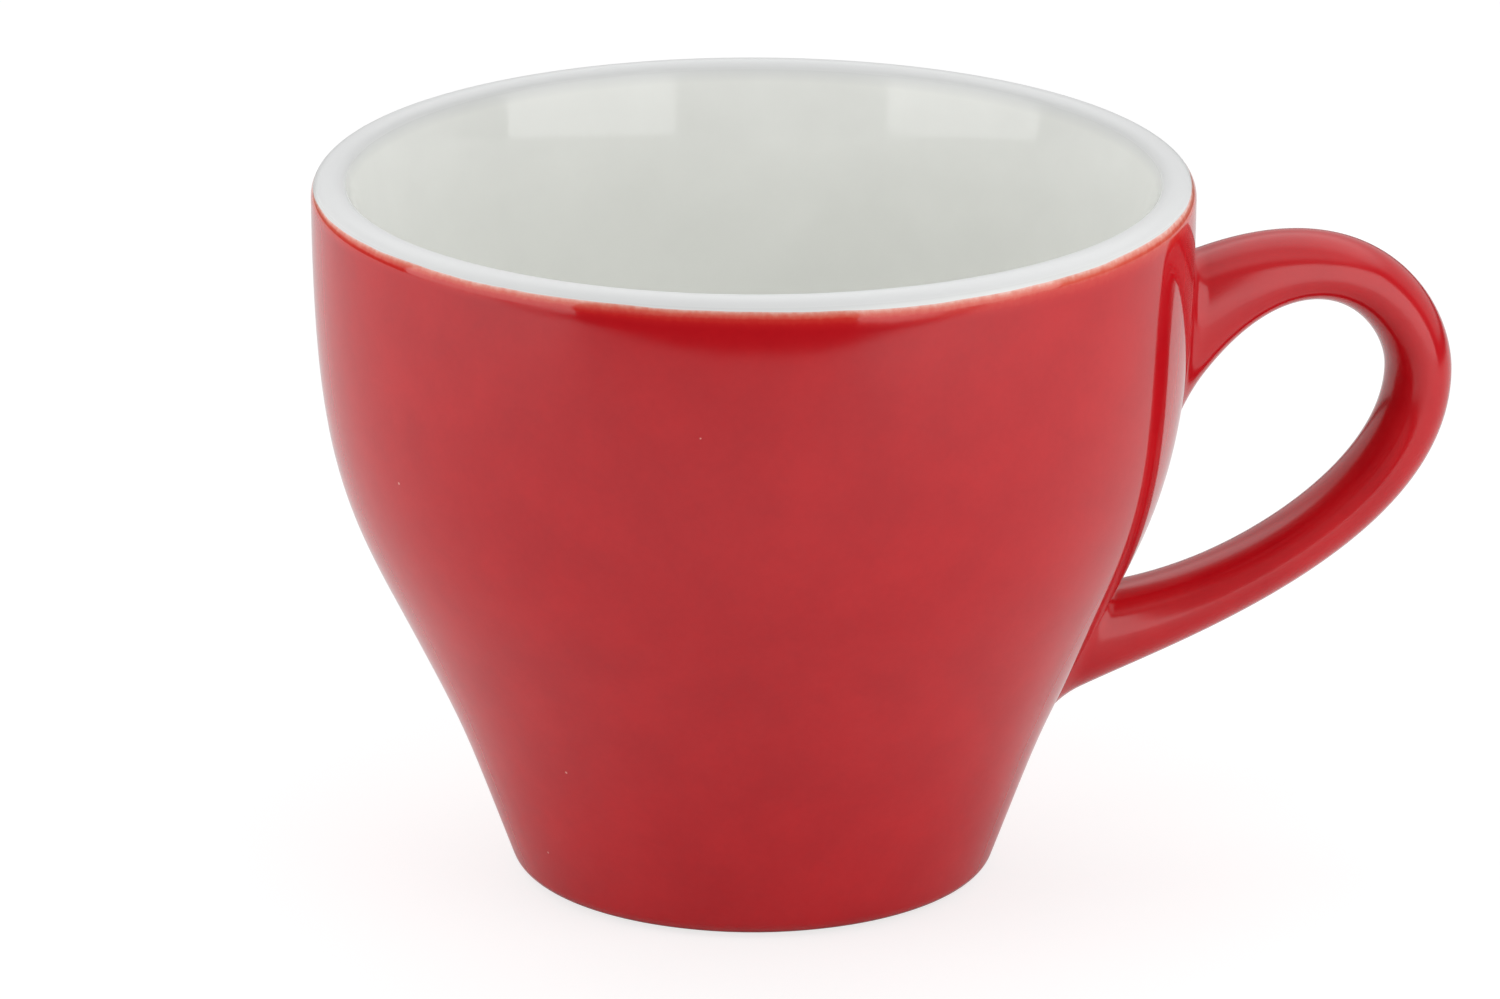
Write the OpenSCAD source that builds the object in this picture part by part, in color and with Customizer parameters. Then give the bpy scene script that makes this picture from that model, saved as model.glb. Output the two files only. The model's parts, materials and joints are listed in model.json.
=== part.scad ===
// Cappuccino cup: a slip-cast clay cup with a loop handle luted on,
// white glaze inside and over the lip, red glaze outside.
// The origin is the centre of the foot on the resting plane, +Z is up
// and the handle points along +X. All lengths are in millimetres.

/* [Cup body] */
// Outer diameter of the rim
rim_d = 90; // [84:0.5:98]
// Height from the resting plane to the top of the lip
cup_h = 74; // [68:0.5:82]
// Diameter that the wall's lowest stretch points at on the resting plane
foot_d = 48.6; // [44:0.2:54]
// Lean of the wall at the foot, from the vertical
foot_lean = 20.3; // [16:0.1:24]
// Diameter of the flank where the curve turns from hollow to full
flank_d = 75.6; // [72:0.2:79]
// Height of that turn
flank_z = 31.6; // [28:0.2:35]
// Lean of the wall at that turn, from the vertical
flank_lean = 26.6; // [23:0.1:30]
// Wall thickness at the rim
rim_t = 3.7; // [3.2:0.1:4.6]
// Wall thickness at the belly, below the lip's taper
belly_t = 6; // [5.4:0.1:6.6]
// Drop from the top of the lip to the end of that taper
belly_drop = 20; // [17:0.5:24]
// Lean of the inside where it meets the lip, from the vertical
mouth_lean = 18.5; // [15:0.5:21]
// Wall thickness at the foot
flank_t = 5.4; // [4.8:0.1:6]
// Outer rounding of the lip
lip_out_r = 2.1; // [1.4:0.1:2.2]
// Inner rounding of the lip
lip_in_r = 1.5; // [1:0.05:1.6]
// Height of the inside floor above the resting plane
floor_z = 8; // [7.2:0.1:9.5]
// Height where the inner wall starts to round into the floor
bowl_z = 19; // [17:0.5:23]

/* [Foot] */
// Rounding between the wall and the foot
foot_round = 2.2; // [1.6:0.1:2.8]
// Width of the unglazed ring that the cup stands on, with its bevels
ring_w = 3.2; // [2.6:0.1:4]
// Bevel on both edges of the ring
ring_bevel = 0.35; // [0.2:0.05:0.5]
// Depth of the recess under the cup
recess_h = 2.8; // [2.2:0.1:3.2]
// Rounding in the recess's corner
recess_round = 1.4; // [0.8:0.1:1.6]

/* [Glaze] */
// Thickness of each glaze coat
coat_t = 0.4; // [0.3:0.05:0.5]
// Gap between the red coat's lower edge and the resting plane
glaze_lift = 0.3; // [0.2:0.05:0.5]
// Height of the wiped edge inside the foot ring
wipe_h = 0.9; // [0.7:0.05:1.2]
// Place on the lip's outer rounding where red meets white, up from the horizontal
band_angle = 32; // [20:1:50]

/* [Handle] */
// Stand-out of the handle beyond the rim
handle_out = 28.2; // [25:0.2:31]
// Drop from the top of the lip to the handle's outermost point
bow_drop = 24.5; // [22:0.1:27]
// Thickness of the strap at its outermost point
strap_t = 6.7; // [5.7:0.1:7.7]
// Width of the strap across the loop
strap_w = 10; // [8.5:0.1:11.5]
// Width of the strap where it meets the wall
root_w = 11.6; // [11.5:0.1:13.5]
// Squareness of the strap's section: 2 is an ellipse
strap_square = 2.5; // [2:0.1:3.2]
// Drop from the top of the lip to the upper root's top edge on the wall
upper_top_drop = 11.3; // [9.7:0.1:13]
// Drop from the top of the lip to the upper root's lower edge on the wall
upper_low_drop = 29; // [27:0.1:31]
// Height of the lower root's upper edge on the wall
lower_top_z = 27.4; // [25.6:0.1:29.2]
// Height of the lower root's bottom edge on the wall
lower_low_z = 15.4; // [13.6:0.1:17.4]
// Angle in degrees at which the outer face rises where it leaves the upper root
outer_lift = 21.2; // [16:0.1:26]
// Angle in degrees at which the inner face rises where it leaves the upper root
inner_lift = 60.4; // [56:0.1:64]
// Angle in degrees at which the outer face rises where it leaves the lower root
outer_tail = 35.9; // [31:0.1:40]
// Angle in degrees at which the inner face rises where it leaves the lower root
inner_tail = 5.3; // [2:0.1:10]
// Radius of the fillet where the strap meets the wall
root_fillet = 2.4; // [1.6:0.1:2.8]
// Thickness of the slip layer that joins each root to the wall
slip_t = 0.8; // [0.5:0.05:1]

/* [Hidden] */

$fn = 96;
rim_r = rim_d / 2;
// Heights on the handle's upper half, which hangs from the lip
bow_z = cup_h - bow_drop;
upper_top_z = cup_h - upper_top_drop;
upper_low_z = cup_h - upper_low_drop;

// Steps along each wall curve, each small rounding and the bowl's curve
wall_steps = 20;
round_steps = 6;
bowl_steps = 16;
// Rings along each half of the handle and points round each ring
half_steps = 24;
ring_sides = 24;
// Crowding of the rings towards the roots: 1 is even
root_ease = 1.6;
// Depth that the handle's tool shape runs into the wall
root_bury = 2;

// Pulls of the wall's curves as shares of the straight line between their ends
lower_pull_shares = [0.512, 0.554];
upper_pull_shares = [0.289, 0.56];
// Pulls of the bowl's curve as shares of its radius
bowl_pull_shares = [0.34, 0.62];
// Pulls of the handle's four curves as shares of the line between their ends, root first
outer_arch_shares = [0.653, 0.276];
inner_arch_shares = [1.029, 0.277];
outer_tail_shares = [0.095, 0.394];
inner_tail_shares = [0.42, 0.272];
// Part of each half of the handle over which its root widens
widen_share = 0.35;
// Places of the buried rings as shares of the buried depth
bury_shares = [1, 0.2];

clay_color = [0.93, 0.91, 0.86];
slip_color = [0.88, 0.85, 0.79];
white_color = [0.90, 0.91, 0.89];
red_color = [0.69, 0.11, 0.12];

// Cubic curve through p[0] and p[3], and its direction
function bezier(p, t) =
    pow(1 - t, 3) * p[0] + 3 * pow(1 - t, 2) * t * p[1]
    + 3 * (1 - t) * pow(t, 2) * p[2] + pow(t, 3) * p[3];
function bezier_dir(p, t) =
    let (d = pow(1 - t, 2) * (p[1] - p[0]) + 2 * (1 - t) * t * (p[2] - p[1]) + pow(t, 2) * (p[3] - p[2]))
    d / norm(d);

// Curve from a to b that leaves along from_dir and arrives along to_dir
function span_curve(a, from_dir, b, to_dir, shares) =
    let (l = norm(b - a))
    [a, a + from_dir * l * shares[0], b - to_dir * l * shares[1], b];

// A profile row is a point and its outward normal: [[r, z], [nr, nz]]
function curve_rows(p, steps, first = 0) = [
    for (k = [first : steps])
        let (t = k / steps, d = bezier_dir(p, t))
        [bezier(p, t), [d[1], -d[0]]]
];
function arc_rows(centre, r, from, to, first = 0) = [
    for (k = [first : round_steps])
        let (a = from + (to - from) * k / round_steps, n = [cos(a), sin(a)])
        [centre + r * n, n]
];
function lean_dir(a) = [sin(a), cos(a)];
// Points of the rows, sunk by depth along their normals
function sunk(rows, depth = 0) = [for (row = rows) row[0] - depth * row[1]];
function turned(list) = [for (k = [len(list) - 1 : -1 : 0]) list[k]];

// Glazed outside of the wall, from the resting plane to the lip
wall_foot = [foot_d / 2, 0];
wall_flank = [flank_d / 2, flank_z];
wall_top = [rim_r, cup_h - lip_out_r];
full_wall = concat(
    curve_rows(span_curve(wall_foot, lean_dir(foot_lean), wall_flank, lean_dir(flank_lean), lower_pull_shares),
        wall_steps),
    curve_rows(span_curve(wall_flank, lean_dir(flank_lean), wall_top, lean_dir(0), upper_pull_shares),
        wall_steps, 1)
);
wall_r_table = [for (row = full_wall) [row[0][1], row[0][0]]];
wall_normal_table = [for (row = full_wall) [row[0][1], row[1][0]]];
function wall_r(z) = lookup(z, wall_r_table);

// Rounding between wall and foot: it touches both the wall and the glaze's lower edge
corner_z = glaze_lift + foot_round;
corner_touch_z = corner_z - foot_round * sin(foot_lean);
corner_r = wall_r(corner_touch_z) - foot_round * cos(foot_lean);
foot_rows = arc_rows([corner_r, corner_z], foot_round, -90, -foot_lean);
wall_rows = [for (row = full_wall) if (row[0][1] > corner_touch_z + coat_t) row];

// Lip: red up to the band, white from there
lip_out_centre = [rim_r - lip_out_r, cup_h - lip_out_r];
lip_in_centre = [rim_r - rim_t + lip_in_r, cup_h - lip_in_r];
band_rows = arc_rows(lip_out_centre, lip_out_r, 0, band_angle, 1);
lip_rows = concat(
    arc_rows(lip_out_centre, lip_out_r, band_angle, 90),
    arc_rows(lip_in_centre, lip_in_r, 90, 180 - mouth_lean)
);

// Wall thickness: from the lip's inner rounding it eases to the belly's, then runs straight to the foot's
mouth_z = cup_h - lip_in_r * (1 - sin(mouth_lean));
mouth_t = rim_t - lip_in_r * (1 - cos(mouth_lean));
belly_z = cup_h - belly_drop;
function taper_t(u) =
    mouth_t + (belly_t - mouth_t) * pow(u, 2) * (3 - 2 * u)
    + tan(mouth_lean) * (mouth_z - belly_z) * u * pow(1 - u, 2);
function wall_t(z) =
    z < belly_z ? flank_t + (belly_t - flank_t) * z / belly_z : taper_t((mouth_z - z) / (mouth_z - belly_z));

// Glazed inside: the wall less its thickness, then the bowl's curve to the axis
inner_line = [
    for (row = turned(full_wall))
        let (p = row[0] - row[1] * wall_t(row[0][1]))
        if (p[1] > bowl_z && p[1] < mouth_z - coat_t) p
];
inner_wall_rows = [
    for (k = [0 : len(inner_line) - 1])
        let (
            a = inner_line[max(k - 1, 0)],
            b = inner_line[min(k + 1, len(inner_line) - 1)],
            d = (b - a) / norm(b - a)
        )
        [inner_line[k], [d[1], -d[0]]]
];
bowl_start = inner_wall_rows[len(inner_wall_rows) - 1];
bowl_dir = [-bowl_start[1][1], bowl_start[1][0]];
bowl_end = [0, floor_z];
bowl_rows = curve_rows([
    bowl_start[0],
    bowl_start[0] + bowl_dir * bowl_start[0][0] * bowl_pull_shares[0],
    bowl_end + [bowl_start[0][0] * bowl_pull_shares[1], 0],
    bowl_end
], bowl_steps, 1);

red_rows = concat(foot_rows, wall_rows, band_rows);
white_rows = concat(lip_rows, inner_wall_rows, bowl_rows);

// Underside: the recess's glazed surface, from the axis to the wiped edge
recess_r = corner_r - ring_w - coat_t;
recess_rows = concat(
    [[[0, recess_h], [0, -1]]],
    arc_rows([recess_r - recess_round, recess_h - recess_round], -recess_round, -90, -180)
);

// Closed outline of a coat over the rows
function coat_outline(rows) = concat(sunk(rows), turned(sunk(rows, coat_t)));

// Solid of the outside wall filled to the axis, sunk by depth
module core(depth) {
    line = sunk(concat(foot_rows, wall_rows), depth);
    last = line[len(line) - 1];
    rotate_extrude()
        polygon(concat([[0, line[0][1]]], line, [[0, last[1]]]));
}

// Handle. A station is [half, share along it, depth buried in the wall].
bow_outer = [rim_r + handle_out, bow_z];
bow_inner = bow_outer - [strap_t, 0];
function on_wall(z) = [wall_r(z), z];
function rise_dir(a) = [cos(a), sin(a)];
down_dir = [0, -1];
outer_arch = span_curve(on_wall(upper_top_z), rise_dir(outer_lift), bow_outer, down_dir, outer_arch_shares);
inner_arch = span_curve(on_wall(upper_low_z), rise_dir(inner_lift), bow_inner, down_dir, inner_arch_shares);
outer_return = span_curve(on_wall(lower_low_z), rise_dir(outer_tail), bow_outer, -down_dir, outer_tail_shares);
inner_return = span_curve(on_wall(lower_top_z), rise_dir(inner_tail), bow_inner, -down_dir, inner_tail_shares);

function eased(u) = pow(u, root_ease);
stations = concat(
    [for (s = bury_shares) [0, 0, s * root_bury]],
    [for (k = [0 : half_steps]) [0, eased(k / half_steps), 0]],
    [for (k = [1 : half_steps]) [1, eased(1 - k / half_steps), 0]],
    [for (s = turned(bury_shares)) [1, 0, s * root_bury]]
);
root_stations = 12;

// Growth of the section at distance d from the wall, which forms the root's fillet
function flare(d, depth) =
    let (r = root_fillet + depth, u = min(root_fillet - d, r))
    u <= 0 ? 0 : r - sqrt(pow(r, 2) - pow(u, 2));
function wall_gap(p) =
    (norm([p[0], p[1]]) - wall_r(p[2])) * lookup(p[2], wall_normal_table);
function section_dir(a) =
    [for (c = [cos(a), sin(a)]) sign(c) * pow(abs(c), 2 / strap_square)];

// Ring of points round one station, sunk by depth
function ring(station, depth) =
    let (
        outer = bezier(station[0] == 0 ? outer_arch : outer_return, station[1]) - [station[2], 0],
        inner = bezier(station[0] == 0 ? inner_arch : inner_return, station[1]) - [station[2], 0],
        across = (outer - inner) / norm(outer - inner),
        half_t = norm(outer - inner) / 2 - depth,
        widen = pow(max(0, 1 - station[1] / widen_share), 2),
        half_w = (strap_w + (root_w - strap_w) * widen) / 2 - depth,
        mid = (outer + inner) / 2
    )
    [for (k = [0 : ring_sides - 1])
        let (
            e = section_dir(360 * k / ring_sides),
            u = e / norm(e),
            out = [u[0] * across[0], u[1], u[0] * across[1]],
            p = [mid[0] + half_t * e[0] * across[0], half_w * e[1], mid[1] + half_t * e[0] * across[1]]
        )
        p + out * flare(wall_gap(p + out * root_fillet), depth)
    ];

// Closed shape through the rings of the stations from first to last
module loft(depth, first = 0, last = len(stations) - 1) {
    n = ring_sides;
    rings = last - first + 1;
    points = [for (s = [first : last]) each ring(stations[s], depth)];
    faces = concat(
        [[for (k = [n - 1 : -1 : 0]) k]],
        [for (s = [0 : rings - 2]) for (k = [0 : n - 1])
            let (a = s * n + k, b = s * n + (k + 1) % n) [a, b, b + n]],
        [for (s = [0 : rings - 2]) for (k = [0 : n - 1])
            let (a = s * n + k, b = s * n + (k + 1) % n) [a, b + n, a + n]],
        [[for (k = [0 : n - 1]) (rings - 1) * n + k]]
    );
    polyhedron(points, faces, convexity = 6);
}

// Layer of slip between the wall and the root whose stations run from first to last
module slip_joint(first, last) {
    color(slip_color)
        difference() {
            intersection() {
                loft(coat_t, first, last);
                core(coat_t - slip_t);
            }
            core(coat_t);
        }
}

module cup_body() {
    ring_in_r = recess_r + coat_t;
    color(clay_color)
        rotate_extrude()
            polygon(concat(
                sunk(red_rows, coat_t),
                sunk(white_rows, coat_t),
                sunk(recess_rows, coat_t),
                [
                    [ring_in_r, ring_bevel],
                    [ring_in_r + ring_bevel, 0],
                    [corner_r - ring_bevel, 0],
                    [corner_r, ring_bevel]
                ]
            ));
}

module handle() {
    color(clay_color)
        difference() {
            loft(coat_t);
            core(coat_t - slip_t);
        }
}

module upper_slip_joint() {
    slip_joint(0, root_stations);
}

module lower_slip_joint() {
    slip_joint(len(stations) - 1 - root_stations, len(stations) - 1);
}

module liner_glaze() {
    color(white_color)
        rotate_extrude()
            polygon(coat_outline(white_rows));
}

module outer_glaze() {
    color(red_color)
        difference() {
            rotate_extrude()
                polygon(coat_outline(red_rows));
            loft(0);
        }
}

module handle_glaze() {
    color(red_color)
        difference() {
            loft(0);
            loft(coat_t);
            core(coat_t);
        }
}

module base_glaze() {
    wiped = [[recess_r, wipe_h], [recess_r + coat_t, wipe_h]];
    color(white_color)
        rotate_extrude()
            polygon(concat(sunk(recess_rows), wiped, turned(sunk(recess_rows, coat_t))));
}

cup_body();
handle();
upper_slip_joint();
lower_slip_joint();
liner_glaze();
outer_glaze();
handle_glaze();
base_glaze();
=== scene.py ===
"""Red cappuccino cup with a white inside: the glazed pieces, their finishes and the studio.

The clay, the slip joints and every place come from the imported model. The four
glaze coats are modelled here as thin closed shells on the same sizes.
"""

import json
import logging
import math
from collections.abc import Callable, Iterable
from dataclasses import dataclass, field
from enum import Enum

import bpy
from mathutils import Matrix, Vector

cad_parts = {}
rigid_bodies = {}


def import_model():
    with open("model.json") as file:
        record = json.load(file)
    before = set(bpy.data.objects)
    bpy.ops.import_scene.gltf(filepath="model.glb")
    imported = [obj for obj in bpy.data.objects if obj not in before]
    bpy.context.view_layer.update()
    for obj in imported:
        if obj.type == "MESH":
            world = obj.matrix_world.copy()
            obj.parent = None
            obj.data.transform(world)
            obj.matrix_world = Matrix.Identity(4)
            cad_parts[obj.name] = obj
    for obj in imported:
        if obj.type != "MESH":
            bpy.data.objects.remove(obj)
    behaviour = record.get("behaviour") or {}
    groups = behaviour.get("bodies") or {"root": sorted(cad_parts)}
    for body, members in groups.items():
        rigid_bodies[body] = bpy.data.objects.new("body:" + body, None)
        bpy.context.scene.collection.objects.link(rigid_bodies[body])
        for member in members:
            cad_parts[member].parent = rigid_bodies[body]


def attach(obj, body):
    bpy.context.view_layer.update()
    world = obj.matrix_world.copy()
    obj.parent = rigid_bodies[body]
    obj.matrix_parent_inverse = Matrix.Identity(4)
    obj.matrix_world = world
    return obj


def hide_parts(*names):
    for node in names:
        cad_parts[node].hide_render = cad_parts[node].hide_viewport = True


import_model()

logging.basicConfig(level=logging.INFO, format="%(message)s")
log = logging.getLogger("cup")

MM = 0.001
BODY = "root"
TINY = 1e-6
WHITE = (1.0, 1.0, 1.0, 1.0)
WALL_CREASE = 35.0
HANDLE_CREASE = 40.0
# The handle is turned away from the camera by this, so camera, table and lamps are turned back by it.
HANDLE_TURN = -10.0
VIEW_TURN = Matrix.Rotation(math.radians(HANDLE_TURN), 4, "Z")

Row = tuple[Vector, Vector]


class Axis(Enum):
    """Where a run of profile points ends."""

    OPEN = "open"
    CLOSED = "closed"


class Slot(Enum):
    """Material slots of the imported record."""

    WHITE = "white_glaze"
    RED = "red_glaze"


# ---------------------------------------------------------------- curves


def bezier(points: list[Vector], t: float) -> Vector:
    """Give a point on a cubic curve.

    Args:
        points: The curve's four control points.
        t: Place along the curve, from 0 to 1.

    Returns:
        The point.
    """
    a, b, c, d = points
    s = 1.0 - t
    return s**3 * a + 3 * s * s * t * b + 3 * s * t * t * c + t**3 * d


def bezier_dir(points: list[Vector], t: float) -> Vector:
    """Give a cubic curve's direction.

    Args:
        points: The curve's four control points.
        t: Place along the curve, from 0 to 1.

    Returns:
        The unit direction.
    """
    a, b, c, d = points
    s = 1.0 - t
    return (s * s * (b - a) + 2 * s * t * (c - b) + t * t * (d - c)).normalized()


def span_curve(
    a: Vector, from_dir: Vector, b: Vector, to_dir: Vector, shares: tuple[float, float]
) -> list[Vector]:
    """Lay a cubic curve between two points with a given direction at each.

    Args:
        a: First point.
        from_dir: Direction in which the curve leaves it.
        b: Last point.
        to_dir: Direction in which the curve arrives.
        shares: Pull at each end, as a share of the straight line.

    Returns:
        The four control points.
    """
    reach = (b - a).length
    return [a, a + from_dir * reach * shares[0], b - to_dir * reach * shares[1], b]


def lean_dir(degrees: float) -> Vector:
    """Give the upward direction that leans outward by some degrees."""
    a = math.radians(degrees)
    return Vector((math.sin(a), math.cos(a)))


def rise_dir(degrees: float) -> Vector:
    """Give the outward direction that rises by some degrees."""
    a = math.radians(degrees)
    return Vector((math.cos(a), math.sin(a)))


def curve_rows(points: list[Vector], steps: int, first: int = 0) -> list[Row]:
    """Sample a curve as profile rows, each a point and its outward normal.

    Args:
        points: The curve's control points.
        steps: Number of steps.
        first: First step that is kept.

    Returns:
        The rows.
    """
    rows = []
    for k in range(first, steps + 1):
        d = bezier_dir(points, k / steps)
        rows.append((bezier(points, k / steps), Vector((d.y, -d.x))))
    return rows


def arc_rows(
    centre: Vector, radius: float, start: float, end: float, steps: int, first: int = 0
) -> list[Row]:
    """Sample an arc as profile rows.

    Args:
        centre: Centre of the arc.
        radius: Its radius.
        start: First angle in degrees.
        end: Last angle in degrees.
        steps: Number of steps.
        first: First step that is kept.

    Returns:
        The rows.
    """
    rows = []
    for k in range(first, steps + 1):
        n = rise_dir(start + (end - start) * k / steps)
        rows.append((centre + radius * n, n))
    return rows


def sunk(rows: Iterable[Row], depth: float = 0.0) -> list[Vector]:
    """Give the rows' points, sunk below the surface.

    Args:
        rows: Profile rows.
        depth: Depth along each normal.

    Returns:
        The points.
    """
    return [p - depth * n for p, n in rows]


def smooth_step(low: float, high: float, value: float) -> float:
    """Ease from 0 at low to 1 at high.

    Args:
        low: Value that gives 0.
        high: Value that gives 1.
        value: The value to ease.

    Returns:
        The eased share.
    """
    u = min(1.0, max(0.0, (value - low) / (high - low)))
    return u * u * (3.0 - 2.0 * u)


# ---------------------------------------------------------------- modelling


def deselect_all() -> None:
    """Leave nothing selected and no object active."""
    bpy.ops.object.select_all(action="DESELECT")
    bpy.context.view_layer.objects.active = None


def name_piece(name: str) -> bpy.types.Object:
    """Name the active object and its mesh, and put its origin at the world's.

    Args:
        name: Name of the piece.

    Returns:
        The object.
    """
    bpy.ops.object.transform_apply(location=True, rotation=True, scale=True)
    piece = bpy.context.view_layer.objects.active
    piece.name = name
    piece.data.name = name
    return piece


def spun(name: str, outline: list[Vector], ends: Axis, steps: int) -> bpy.types.Object:
    """Draw an outline point by point and spin it round the cup's axis.

    Args:
        name: Name of the piece.
        outline: Points [radius, height] in millimetres.
        ends: CLOSED if the outline joins up, OPEN if both ends lie on the axis.
        steps: Steps of the spin.

    Returns:
        The closed solid of revolution.
    """
    deselect_all()
    start = outline[0]
    bpy.ops.mesh.primitive_plane_add(size=MM, location=(start.x * MM, 0, start.y * MM))
    piece = name_piece(name)
    bpy.ops.object.mode_set(mode="EDIT")
    bpy.ops.mesh.select_all(action="SELECT")
    bpy.ops.mesh.merge(type="CENTER")
    path = outline + [start] if ends is Axis.CLOSED else outline
    for a, b in zip(path, path[1:]):
        step = ((b.x - a.x) * MM, 0.0, (b.y - a.y) * MM)
        bpy.ops.mesh.extrude_vertices_move(TRANSFORM_OT_translate={"value": step})
    bpy.ops.mesh.select_all(action="SELECT")
    bpy.ops.mesh.spin(steps=steps, angle=math.tau, center=(0, 0, 0), axis=(0, 0, 1))
    bpy.ops.mesh.select_all(action="SELECT")
    bpy.ops.mesh.remove_doubles(threshold=TINY)
    bpy.ops.mesh.normals_make_consistent(inside=False)
    bpy.ops.object.mode_set(mode="OBJECT")
    return piece


def tube(name: str, sides: int, rings: int) -> bpy.types.Object:
    """Extrude a circle ring by ring into a straight tube along Z, a millimetre a ring.

    Args:
        name: Name of the piece.
        sides: Points round the tube.
        rings: Number of rings.

    Returns:
        The open tube.
    """
    deselect_all()
    bpy.ops.mesh.primitive_circle_add(vertices=sides, radius=MM, fill_type="NOTHING")
    piece = name_piece(name)
    bpy.ops.object.mode_set(mode="EDIT")
    bpy.ops.mesh.select_all(action="SELECT")
    for _ in range(rings - 1):
        bpy.ops.mesh.extrude_edges_move(TRANSFORM_OT_translate={"value": (0.0, 0.0, MM)})
    bpy.ops.object.mode_set(mode="OBJECT")
    return piece


def reshape(piece: bpy.types.Object, place: Callable[[Vector], Vector]) -> None:
    """Move each point of a mesh to the place that a rule gives it.

    Args:
        piece: The object.
        place: Rule from the old point to the new one, in metres.
    """
    for vertex in piece.data.vertices:
        vertex.co = place(vertex.co.copy())
    piece.data.update()


def recalculate(piece: bpy.types.Object) -> None:
    """Turn the faces of a mesh outward.

    Args:
        piece: The object.
    """
    deselect_all()
    bpy.context.view_layer.objects.active = piece
    piece.select_set(True)
    bpy.ops.object.mode_set(mode="EDIT")
    bpy.ops.mesh.select_all(action="SELECT")
    bpy.ops.mesh.normals_make_consistent(inside=False)
    bpy.ops.object.mode_set(mode="OBJECT")


def smooth(piece: bpy.types.Object, degrees: float) -> None:
    """Shade a mesh smooth, with edges sharper than the angle kept.

    Args:
        piece: The object.
        degrees: The angle.
    """
    deselect_all()
    bpy.context.view_layer.objects.active = piece
    piece.select_set(True)
    bpy.ops.object.shade_smooth_by_angle(angle=math.radians(degrees))


def number_layer(piece: bpy.types.Object, name: str, rule: Callable[[Vector], float]) -> None:
    """Store a number on each point of a mesh, for its material.

    Args:
        piece: The object.
        name: Name of the attribute.
        rule: Rule from the point, in metres, to the number.
    """
    layer = piece.data.attributes.new(name, "FLOAT", "POINT")
    for vertex in piece.data.vertices:
        layer.data[vertex.index].value = rule(vertex.co)


def seat(piece: bpy.types.Object, node: str, material: bpy.types.Material) -> None:
    """Let a finished piece stand for its node, ride on the body and take its finish.

    Args:
        piece: The object.
        node: The node that it replaces.
        material: Its material.
    """
    piece.data.materials.clear()
    piece.data.materials.append(material)
    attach(piece, BODY)
    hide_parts(node)
    log.info("%s: %d faces, for %s", piece.name, len(piece.data.polygons), node)


# ---------------------------------------------------------------- materials


def tint(code: str) -> tuple[float, float, float, float]:
    """Turn an sRGB hex value into a linear colour.

    Args:
        code: The value, such as "#A0C4FF".

    Returns:
        Red, green, blue and alpha.
    """
    parts = [int(code[k : k + 2], 16) / 255 for k in (1, 3, 5)]
    red, green, blue = (p / 12.92 if p <= 0.04045 else ((p + 0.055) / 1.055) ** 2.4 for p in parts)
    return red, green, blue, 1.0


def add_node(
    tree: bpy.types.NodeTree, kind: str, settings: dict | None = None, links: dict | None = None
) -> bpy.types.Node:
    """Add a node with its settings and links.

    Args:
        tree: The node tree.
        kind: The node's type.
        settings: Attribute names, or socket names or numbers, with their values.
        links: Input names or numbers, with the output sockets that feed them.

    Returns:
        The node.
    """
    node = tree.nodes.new(kind)
    for key, value in (settings or {}).items():
        if isinstance(key, str) and hasattr(node, key):
            setattr(node, key, value)
        else:
            node.inputs[key].default_value = value
    for key, source in (links or {}).items():
        tree.links.new(source, node.inputs[key])
    return node


def ramp(
    tree: bpy.types.NodeTree, source: bpy.types.NodeSocket, stops: Iterable[tuple[float, str | float]]
) -> bpy.types.Node:
    """Add a colour ramp.

    Args:
        tree: The node tree.
        source: The number that runs along the ramp.
        stops: Places and colours, or places and grey levels.

    Returns:
        The ramp node.
    """
    stops = list(stops)
    node = add_node(tree, "ShaderNodeValToRGB", links={"Fac": source})
    elements = node.color_ramp.elements
    while len(elements) < len(stops):
        elements.new(0.5)
    for element, (place, colour) in zip(elements, stops):
        element.position = place
        element.color = tint(colour) if isinstance(colour, str) else (colour, colour, colour, 1.0)
    return node


def new_material(name: str) -> tuple[bpy.types.Material, bpy.types.NodeTree]:
    """Start an empty node material.

    Args:
        name: Its name.

    Returns:
        The material and its node tree.
    """
    material = bpy.data.materials.new(name)
    material.use_nodes = True
    material.node_tree.nodes.clear()
    return material, material.node_tree


def noise(
    tree: bpy.types.NodeTree, place: bpy.types.NodeSocket, size_mm: float, detail: float
) -> bpy.types.NodeSocket:
    """Add a noise pattern.

    Args:
        tree: The node tree.
        place: Object coordinates.
        size_mm: Size of the pattern in millimetres.
        detail: Number of finer layers.

    Returns:
        The pattern, from 0 to 1.
    """
    settings = {"Scale": 1 / (size_mm * MM), "Detail": detail}
    return add_node(tree, "ShaderNodeTexNoise", settings, {"Vector": place}).outputs["Fac"]


def colour_mix(
    tree: bpy.types.NodeTree,
    share: bpy.types.NodeSocket,
    first: bpy.types.NodeSocket,
    second: bpy.types.NodeSocket | str,
) -> bpy.types.NodeSocket:
    """Mix two colours.

    Args:
        tree: The node tree.
        share: Share of the second colour.
        first: The first colour.
        second: The second colour, as a socket or an sRGB hex value.

    Returns:
        The mixed colour.
    """
    settings: dict = {"data_type": "RGBA"}
    links = {0: share, 6: first}
    if isinstance(second, str):
        settings[7] = tint(second)
    else:
        links[7] = second
    return add_node(tree, "ShaderNodeMix", settings, links).outputs[2]


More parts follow.
